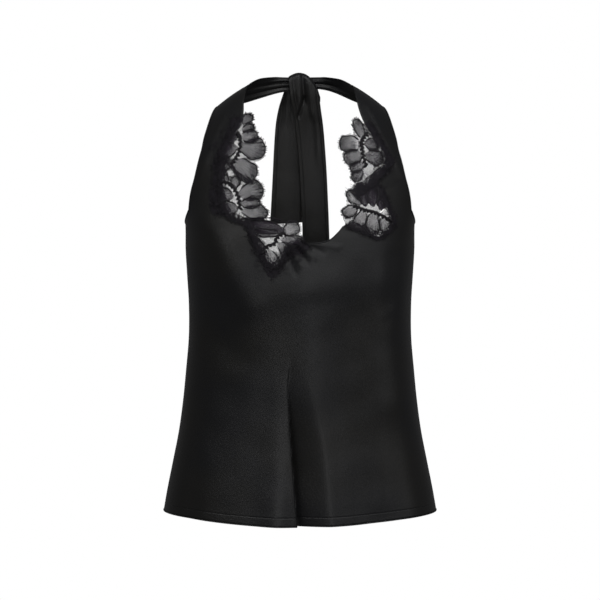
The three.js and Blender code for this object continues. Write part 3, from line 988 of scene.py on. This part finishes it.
# Ovals that make up each piece's outline. [across, height, half width, half height, lean in degrees]
LACE_LEFT = [
    [-70, -61, 7, 7, 0],
    [-68, -73, 7, 6, 0],
    [-68, -92, 14, 14, 20],
    [-60, -106, 15, 14, -20],
    [-71, -132, 13, 18, 15],
    [-65, -161, 17, 17, 0],
    [-62, -187, 20, 10, -10],
    [-94, -99, 13, 13, 20],
    [-96, -119, 13, 12, -10],
    [-96, -172, 15, 13, 0],
    [-99, -150, 9, 10, 0],
    [-79, -99, 9, 30, 0],
    [-85, -150, 13, 34, 0],
    [-84, -72, 13, 14, 30],
    [-100, -86, 13, 13, 20],
    [-110, -103, 12, 12, 0],
    [-106, -122, 10, 12, 0],
    [-106, -144, 9, 12, 0],
    [-110, -164, 11, 12, 0],
    [-110, -182, 12, 9, 0],
    [-92, -184, 13, 9, 0],
    [-79, -184, 14, 14, 0],
    [-94, -110, 10, 9, 0],
    [-99.5, -155, 7, 8, 0],
    [-71, -147, 8, 6, 0],
    [-72, -172, 7, 6, 0],
    [-71, -74, 8, 8, 0],
    [-97, -139, 5, 5, 0],
    [-86, -85, 5, 5, 0],
    [-102, -133.5, 5, 5, 0],
    [-80, -192, 15, 9, -20],
    [-66, -198, 12, 6, -15],
]
LACE_CENTRE = [
    [-37, -208, 25, 10, -4],
    [-11, -208.5, 10.5, 10.5, 0],
    [-13, -224, 14, 7, 12],
    [-38, -243, 17, 12, -40],
    [-52, -228, 8, 13, 12],
    [-42, -225, 22, 15, 0],
    [-58, -222, 9, 14, 12],
    [-60, -207, 9, 8, 0],
    [-56, -238, 10, 11, 0],
    [-48, -254, 12, 11, 0],
    [-33, -264, 12, 9, 0],
    [-16, -259, 12, 10, 0],
    [-22, -239, 12, 11, 0],
    [-5, -244, 10, 10, 0],
    [4, -232, 8, 6, 0],
    [-25, -253, 6, 6, 0],
    [-15, -249, 6, 5, 0],
    [-20, -217, 7, 6, 0],
]
LACE_RIGHT = [
    [77, -76, 6.5, 14, -8],
    [63, -97, 10, 10.5, 0],
    [69, -112, 9, 14, 15],
    [74, -134, 7, 10, 0],
    [94, -113, 11, 13, 0],
    [93, -94, 9, 11, 0],
    [79, -160, 12, 14, 15],
    [65, -193, 9.5, 11.5, 0],
    [82, -197, 10.5, 13, 0],
    [99, -199, 12, 13, 0],
    [93, -160, 10, 13, -15],
    [84, -104, 8, 28, 0],
    [94, -80, 10, 12, -20],
    [104, -98, 10, 12, -20],
    [113, -113, 10, 10, 0],
    [110, -126, 11, 9, 30],
    [98, -132, 12, 9, 30],
    [86, -141, 11, 11, 30],
    [92, -155, 11, 14, 0],
    [102, -167, 12, 15, -15],
    [88, -178, 22, 12, 0],
    [113, -195, 10, 12, -10],
    [117, -199, 8, 9, 0],
    [104, -210, 10, 7, 0],
    [83, -207, 9, 7, 0],
    [66, -202, 8, 6, 0],
    [73, -187, 4, 4, 0],
    [79, -124, 7, 11, 0],
    [91, -125, 7, 7, 0],
    [102, -121, 6, 6, 0],
    [101, -88, 5, 6, 0],
    [83.5, -77, 4, 5, 0],
    [68, -182, 4, 4, 0],
    [79.5, -149, 4, 4, 0],
    [86, -130, 6, 5, 0],
]

# Petals. [across and height at the base, at the tip, half width, share of its net that is thread]
PETALS_LEFT = [
    [-97, -150, -99, -136, 6, 0.62],
    [-88, -157, -82, -140, 7, 0.6],
    [-82, -88, -107, -84, 11, 0.76],
    [-81, -101, -110, -105, 12, 0.74],
    [-86, -117, -108, -128, 10, 0.76],
    [-86, -167, -111, -160, 11, 0.76],
    [-79, -182, -108, -183, 12, 0.74],
    [-79, -177, -52, -174, 8, 0.62],
    [-77, -186, -42, -189, 10.5, 0.64],
    [-80, -163, -48, -157, 14.5, 0.66],
    [-85, -117, -60, -143, 15, 0.66],
    [-78, -86, -56, -85, 11, 0.64],
    [-79, -98, -46, -107, 16, 0.66],
    [-77, -77, -61, -72, 6.5, 0.69],
    [-76, -68, -64, -56, 7, 0.67],
]
PETALS_CENTRE = [
    [-29, -228, -8, -242, 9, 0.59],
    [-46, -239, -62, -222, 8, 0.77],
    [-41, -235, -35, -264, 12, 0.47],
    [-25, -223, 5, -226, 8, 0.64],
    [-18, -212, -72, -202, 9.5, 0.93],
    [-22, -216, -62, -213, 6, 0.76],
    [-22, -216, -2, -204, 10, 0.52],
]
PETALS_RIGHT = [
    [104, -184, 113, -158, 9, 0.97],
    [95, -180, 92, -148, 10, 0.97],
    [86, -180, 76, -150, 8.5, 0.95],
    [79, -178, 62, -160, 8.5, 0.72],
    [108, -191, 113, -213, 8, 0.57],
    [84, -184, 72, -212, 10, 0.52],
    [96, -186, 92, -216, 11, 0.54],
    [75, -180, 56, -191, 9, 0.62],
    [85, -109, 109, -117, 11, 0.76],
    [84, -94, 104, -97, 10, 0.76],
    [82, -131, 69, -145, 7, 0.74],
    [84, -122, 66, -131, 8, 0.69],
    [81, -108, 59, -119, 12, 0.66],
    [81, -97, 52, -95, 13, 0.66],
    [84, -90, 73, -62, 7.5, 0.66],
]

# Folded-over bands of close net. [across, height]
BAND_LACE_LEFT = [
    [-106, -106],
    [-98, -114],
    [-91, -123],
    [-84, -134],
    [-76, -141],
    [-68, -145],
    [-60, -149],
]
BAND_LACE_CENTRE = [[-76, -197], [-58, -196], [-38, -196], [-24, -199]]
BAND_LACE_RIGHT = [[122, -114], [111, -127], [100, -139], [88, -150], [76, -159], [68, -166]]
BAND_WIDTHS = {"left": 0.7, "centre": 0.3, "right": 1.5}

# Stems. [share of the way, across, height]
STEMS_LEFT = [
    [[0, -81, -82], [0.3, -78, -92], [0.6, -80, -108], [1, -88, -122]],
    [[0, -99, -147], [0.3, -88, -152], [0.65, -80, -167], [1, -77, -183]],
]
STEMS_CENTRE = [
    [[0, -47, -240], [0.25, -42, -232], [0.5, -33, -229], [0.75, -29, -220], [1, -21, -216]],
]
STEMS_RIGHT = [
    [[0, 88, -82], [0.3, 81, -92], [0.7, 82, -110], [1, 86, -126]],
    [[0, 71, -180], [0.3, 84, -185], [0.6, 97, -188], [1, 116, -197]],
]


def over_satin(x, z, out):
    """A place on the front's outer face, moved out by that many millimetres."""
    step = 1.5
    depth = front_depth_at(x, z)
    slope_x = (front_depth_at(x + step, z) - depth) / step
    slope_z = (front_depth_at(x, z + step) - depth) / step
    normal = Vector((slope_x, -1, slope_z)).normalized()
    return Vector((x, depth, z)) + normal * out


def on_satin(x, z):
    """How far in millimetres a place lies inside the front's edge, less than 0 where it is bare."""
    side = -1 if x < 0 else 1
    neck = STRAP_EDGES[side][0]
    across = across_at(x, z)
    foot_x, foot_z = NECKLINE[0 if side < 0 else -1]
    if z < foot_z:
        below = abs(across) < abs(neck)
        return neckline_height(across) - z if below else math.hypot(x - foot_x, z - foot_z)
    drop = math.sqrt(crest_height(foot_x) - foot_z)
    up = max(0, 1 - math.sqrt(max(0, crest_height(x) - z)) / drop)
    return abs(x) - STRAP_EDGES[side][2](up)


def oval_reach(oval, x, z):
    """Under 1 inside an oval, and 1 on its edge."""
    centre_x, centre_z, wide, high, lean = oval
    turn = math.radians(lean)
    aside = (x - centre_x) * math.cos(turn) + (z - centre_z) * math.sin(turn)
    up = (z - centre_z) * math.cos(turn) - (x - centre_x) * math.sin(turn)
    return (aside / wide) ** 2 + (up / high) ** 2


def net_threads(finish, pitch, level):
    """1 on the threads of a six-sided net: they fill more of it as level goes from -1.5 to 3."""
    across, along = finish.along_cloth()
    turn = 4 * math.pi / (math.sqrt(3) * pitch)
    lean = math.sqrt(3) / 2
    waves = [across * turn, (across * 0.5 + along * lean) * turn, (across * 0.5 - along * lean) * turn]
    total = waves[0].sum("COSINE", waves[0])
    for wave in waves[1:]:
        total = total + wave.sum("COSINE", wave)
    return total.under(level)


def closeness(finish):
    return finish.step("ShaderNodeAttribute", {"attribute_name": "closeness"}, {}, 2)


def make_net():
    """Fine net: dark thread round small six-sided holes, closer where the lace is worked thicker."""
    net = Finish("lace net", Roughness=0.7, Specular_IOR_Level=0.2)
    net.set("Alpha", net_threads(net, 0.00095, closeness(net)))
    worn, lit = (0.009, 0.0078, 0.0102, 1), (0.028, 0.0245, 0.032, 1)
    net.set("Base Color", net.blend(net.mottle(160), worn, lit))
    return net.material


def make_petal_net():
    """The petals' closer net, with ribs that run out from the base to the rim."""
    net = Finish("lace petal", Roughness=0.65, Specular_IOR_Level=0.15)
    laid = net.step("ShaderNodeUVMap", {"uv_map": "fan"}, {})
    around, out = [net.step("ShaderNodeSeparateXYZ", {}, {0: laid}, axis) for axis in (0, 1)]
    rib = (around * (2 * math.pi * 17)).wave().between(0.2, 0.95)
    rim = out.between(0.55, 1.0)
    level = closeness(net) + rib * 1.5 * out + rim * 1.3
    net.set("Alpha", net_threads(net, 0.00055, level))
    net.set("Base Color", net.blend(rim, (0.036, 0.030, 0.041, 1), (0.008, 0.0065, 0.0095, 1)))
    return net.material


def make_cord_thread():
    cord = Finish("lace cord", Roughness=0.55, Specular_IOR_Level=0.35)
    twist = cord.mottle(900)
    cord.set("Base Color", cord.blend(twist, (0.006, 0.0052, 0.0068, 1), (0.022, 0.019, 0.025, 1)))
    cord.relief(twist, 0.0002)
    return cord.material


LACE_NET, LACE_PETAL, LACE_CORD = make_net(), make_petal_net(), make_cord_thread()

# How far the lace reaches over the satin, and how far its petals show there.
REACH = 20
HIDDEN = 3

# How close the net is where it stands clear, at the satin's edge, and at its own outer edge there.
NET_LEVELS = {"open": -0.3, "bound": 2.2, "outer": -1.3}

# Radii of the cords round the petals, of the fringe, and of the hairs of borders and bands
CORD, FRINGE, HAIR = 0.95, 0.32, 0.2

# The net's level for a share of it that thread fills. [share, level]
LEVELS = [[0, -1.5], [0.2, -1.06], [0.4, -0.72], [0.6, 0], [0.8, 1.19], [0.9, 2], [1, 3]]
level_of = through(LEVELS, 1)


def make_lace_ground(name, ovals, node):
    """The net ground, cut to the outline of the ovals and closer where it lies on the satin."""
    step = 1.3
    low_x = min(oval[0] - max(oval[2:4]) for oval in ovals) - 2
    high_x = max(oval[0] + max(oval[2:4]) for oval in ovals) + 2
    low_z = min(oval[1] - max(oval[2:4]) for oval in ovals) - 2
    high_z = min(-50, max(oval[1] + max(oval[2:4]) for oval in ovals) + 2)
    shape = bmesh.new()
    close = shape.verts.layers.float.new("closeness")
    lay_cloth(
        shape,
        round((high_x - low_x) / step),
        round((high_z - low_z) / step),
        lambda over, up: (mix(low_x, high_x, over), NAPE_BEHIND_SEAMS, mix(low_z, high_z, up)),
        lambda over, up: (mix(low_x, high_x, over) / 1000, mix(low_z, high_z, up) / 1000),
    )
    places = {}
    for vertex in shape.verts:
        x, z = vertex.co.x * 1000, vertex.co.z * 1000
        far, number = min((oval_reach(oval, x, z), number) for number, oval in enumerate(ovals))
        places[vertex] = (x, z, far, ovals[number])
    outside = [vertex for vertex in shape.verts if places[vertex][2] > 1]
    bmesh.ops.delete(shape, geom=outside, context="VERTS")
    rim = {vertex for edge in shape.edges if edge.is_boundary for vertex in edge.verts}
    for vertex in shape.verts:
        x, z, far, oval = places[vertex]
        if vertex in rim and far > 0.5:
            grow = 1 / math.sqrt(far)
            x, z = oval[0] + (x - oval[0]) * grow, oval[1] + (z - oval[1]) * grow
        inside = on_satin(x, z)
        grain = noise.noise(Vector((x, 7, z)) / 4)
        bare = NET_LEVELS["open"] + 0.5 * max(0, grain)
        backed = mix(NET_LEVELS["bound"], NET_LEVELS["outer"], ease(REACH - 10, REACH, inside + 6 * grain))
        vertex[close] = mix(bare, backed + 1.3 * grain, ease(-4, 1, inside))
        vertex.co = garment(*over_satin(x, z, 0.9))
    bmesh.ops.recalc_face_normals(shape, faces=shape.faces)
    ground = finished_mesh(name, shape, LACE_NET)
    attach(ground, "root")
    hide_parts(node)
    return ground


def petal_outline(petal, turn):
    """A petal's edge, widest near its tip: turn is 0 at the base and pi at the tip."""
    base_x, base_z, tip_x, tip_z, wide = petal[:5]
    uneven = noise.noise(Vector((1.7 * math.cos(turn), 1.7 * math.sin(turn), base_x)))
    scallop = 0.92 + 0.06 * abs(math.cos(3.5 * turn + base_x)) + 0.26 * uneven
    along = (1 - math.cos(turn)) / 2
    aside = wide * math.sin(turn) * (0.62 + 0.5 * along) * scallop
    long = math.hypot(tip_x - base_x, tip_z - base_z)
    way_x, way_z = (tip_x - base_x) / long, (tip_z - base_z) / long
    far = along * long * (0.97 + 0.03 * scallop)
    return base_x + way_x * far - way_z * aside, base_z + way_z * far + way_x * aside


def petal_hidden(vertex):
    return on_satin(vertex.co.x * 1000, vertex.co.z * 1000) > HIDDEN


def make_petals(name, petals):
    shape = bmesh.new()
    cloth = shape.loops.layers.uv.new("cloth")
    fan = shape.loops.layers.uv.new("fan")
    close = shape.verts.layers.float.new("closeness")
    for number, petal in enumerate(petals):
        made = bmesh.ops.create_grid(shape, x_segments=48, y_segments=8, size=1)
        lift = 1.2 + 0.25 * (number % 4)
        for vertex in made["verts"]:
            over, up = (vertex.co.x + 1) / 2, (vertex.co.y + 1) / 2
            out = mix(0.04, 1, up)
            edge_x, edge_z = petal_outline(petal, over * 2 * math.pi)
            x, z = mix(petal[0], edge_x, out), mix(petal[1], edge_z, out)
            rise = 2.4 * out * (1 - out) + 0.35 * out * math.cos(over * 2 * math.pi * 17)
            vertex[close] = level_of(petal[5]) + 0.6 * noise.noise(Vector((x, number, z)) / 5)
            for loop in vertex.link_loops:
                loop[fan].uv = (over, out)
                loop[cloth].uv = (x / 1000, z / 1000)
            vertex.co = garment(*over_satin(x, z, lift + rise))
        hidden = [vertex for vertex in made["verts"] if petal_hidden(vertex)]
        bmesh.ops.delete(shape, geom=hidden, context="VERTS")
    bmesh.ops.recalc_face_normals(shape, faces=shape.faces)
    worked = finished_mesh(name, shape, LACE_PETAL)
    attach(worked, "root")
    return worked


def make_threads(name, lines, radius, roundness=1):
    """Cords or hairs along rows of places."""
    threads = make_round(name, lines, radius, roundness, LACE_CORD)
    return threads


def make_cords(name, petals):
    """A cord round each petal, from one side of its base to the other."""
    lines = []
    for number, petal in enumerate(petals):
        lift = 1.4 + 0.25 * (number % 4)
        run = []
        for turn in range(46, 315, 7):
            x, z = petal_outline(petal, math.radians(turn))
            if on_satin(x, z) < HIDDEN:
                run.append(over_satin(x, z, lift))
            elif run:
                lines.append(run)
                run = []
        lines.append(run)
    return make_threads(name, [line for line in lines if len(line) > 1], CORD)


def make_hair(chance, x, z, way_x, way_z, long):
    """A short hair from a place on the lace, roughly in one direction."""
    way = Vector((way_x, 0, way_z)).normalized()
    way.rotate(Matrix.Rotation(chance.uniform(-0.5, 0.5), 3, "Y"))
    lift = chance.uniform(1.2, 2)
    places = [(x + way.x * long * share, z + way.z * long * share, share) for share in (0, 0.5, 1)]
    return [over_satin(at_x, at_z, lift + share * 0.5) for at_x, at_z, share in places]


def make_fringe(name, ovals, petals, seed):
    """Eyelash fringe: short hairs that stand out from the lace's edges."""
    chance = random.Random(seed)
    lines = []
    for oval in ovals:
        centre_x, centre_z, wide, high, lean = oval
        round_about = int(2 * math.pi * max(wide, high) / 0.8)
        for step in range(round_about):
            angle = 2 * math.pi * (step + chance.random()) / round_about
            turn = math.radians(lean)
            aside, up = wide * math.cos(angle), high * math.sin(angle)
            x = centre_x + aside * math.cos(turn) - up * math.sin(turn)
            z = centre_z + aside * math.sin(turn) + up * math.cos(turn)
            if 0 < on_satin(x, z) < REACH - 3 and step % 2:
                long = chance.uniform(2.5, 5.5)
                lines.append(make_hair(chance, x, z, x - centre_x, z - centre_z, long))
    for petal in petals:
        middle_x, middle_z = mix(petal[0], petal[2], 0.4), mix(petal[1], petal[3], 0.4)
        for turn in range(60, 300, 4):
            x, z = petal_outline(petal, math.radians(turn + chance.uniform(-2, 2)))
            long = chance.uniform(1.5, 3.6)
            if on_satin(x, z) < HIDDEN:
                lines.append(make_hair(chance, x, z, x - middle_x, z - middle_z, long))
    return make_threads(name, lines, FRINGE, 0)


def make_stems(name, stems):
    """Beaded stems: small oval knots set slantwise one after another."""
    shape = bmesh.new()
    for stem in stems:
        read_x, read_z = through(stem, 1), through(stem, 2)
        long = sum(math.hypot(b[1] - a[1], b[2] - a[2]) for a, b in zip(stem, stem[1:]))
        for number, share in enumerate(shares(round(long / 2.6))):
            way = 1 if number % 2 else -1
            x, z = read_x(share) + 0.7 * way, read_z(share)
            place = Matrix.Translation(garment(*over_satin(x, z, 2.9)))
            turn = Matrix.Rotation(0.7 * way, 4, "Y") @ Matrix.Diagonal((3.9, 1.6, 2.2, 1))
            bmesh.ops.create_icosphere(shape, subdivisions=1, radius=0.001, matrix=place @ turn)
    bmesh.ops.recalc_face_normals(shape, faces=shape.faces)
    made = finished_mesh(name, shape, LACE_CORD)
    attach(made, "root")
    return made


def strap_edge(side, start, end):
    return [strap_place(side, 1, up) for up in shares(30, start, end)]


def neckline_edge(start, end):
    return [front_place(across, neckline_height(across)) for across in shares(36, start, end)]


# A border's half width, its scallops and its slow sway: [most, length] of each
BORDER = {"half": 3.4, "scallop": [1.5, 5.5], "sway": [0.8, 17]}


def make_border(name, edge, seed, wide=1, lift=1.9):
    """A close scalloped band with hairs: the border over the satin's cut edge, or a folded-over band."""
    chance = random.Random(seed)
    steps = [math.hypot(b[0] - a[0], b[2] - a[2]) for a, b in zip(edge, edge[1:])]
    rows = [[sum(steps[:number]), place[0], place[2]] for number, place in enumerate(edge)]
    long = rows[-1][0]
    read_x, read_z = through(rows, 1), through(rows, 2)

    def beside(along, aside):
        x, z = read_x(along), read_z(along)
        way_x = read_x(min(long, along + 4)) - read_x(max(0, along - 4))
        way_z = read_z(min(long, along + 4)) - read_z(max(0, along - 4))
        size = math.hypot(way_x, way_z)
        return x - way_z / size * aside, z + way_x / size * aside, way_z / size, -way_x / size

    def half(along):
        scallop, scallop_long = BORDER["scallop"]
        sway, sway_long = BORDER["sway"]
        waves = scallop * abs(math.sin(along / scallop_long)), sway * math.sin(along / sway_long + seed)
        return wide * (BORDER["half"] + waves[0] + waves[1])

    shape = bmesh.new()
    close = shape.verts.layers.float.new("closeness")

    def place(over, up):
        x, z = beside(up * long, (over * 2 - 1) * half(up * long))[:2]
        return over_satin(x, z, lift + 0.5 * math.sin(math.pi * over))

    lay_cloth(shape, 8, round(long / 1.3), place, lambda over, up: (over * 0.01, up * long / 1000))
    for vertex in shape.verts:
        vertex[close] = 1.6 + 1.9 * noise.noise(vertex.co * 1000 / 3)
    bmesh.ops.recalc_face_normals(shape, faces=shape.faces)
    border = finished_mesh(name, shape, LACE_NET)
    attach(border, "root")
    lines = []
    for step in range(int(long / 0.9)):
        along = step * 0.9 + chance.random()
        for way in (-1, 1):
            x, z, out_x, out_z = beside(min(long, along), way * half(along) * chance.uniform(0.5, 1))
            hair = wide * chance.uniform(1.5, 5.5)
            lines.append(make_hair(chance, x, z, -out_x * way, -out_z * way, hair))
    return border, make_threads(name + "_fringe", lines, HAIR, 0)


def make_lace(side, ovals, petals, band, stems, edge, node, seed):
    ground = make_lace_ground("lace_net_" + side, ovals, node)
    worked = [
        make_petals("lace_petals_" + side, petals),
        make_cords("lace_cords_" + side, petals),
        make_fringe("lace_fringe_" + side, ovals, petals, seed),
        make_stems("lace_stems_" + side, stems),
        *make_border("lace_border_" + side, edge, seed),
    ]
    fold = [(x, 0, z) for x, z in band]
    worked += make_border("lace_band_" + side, fold, seed + 10, BAND_WIDTHS[side], 3.3)


# Where on the neckline the left and centre lace meet and end, and where the right lace lies
LACE_ENDS = [across_at(-100, -177), across_at(-66, -203), across_at(6, -228)]
RIGHT_LACE_ENDS = [across_at(62, -204), across_at(122, -199)]
left_edge = strap_edge(-1, 0.44, 0)[:-1] + neckline_edge(*LACE_ENDS[:2])
right_edge = neckline_edge(*RIGHT_LACE_ENDS)[:-1] + strap_edge(1, 0, 0.44)
centre_edge = neckline_edge(*LACE_ENDS[1:])
lace_left = [LACE_LEFT, PETALS_LEFT, BAND_LACE_LEFT, STEMS_LEFT, left_edge]
lace_centre = [LACE_CENTRE, PETALS_CENTRE, BAND_LACE_CENTRE, STEMS_CENTRE, centre_edge]
lace_right = [LACE_RIGHT, PETALS_RIGHT, BAND_LACE_RIGHT, STEMS_RIGHT, right_edge]
make_lace("left", *lace_left, "lace_left", 11)
make_lace("centre", *lace_centre, "lace_centre", 12)
make_lace("right", *lace_right, "lace_right", 13)
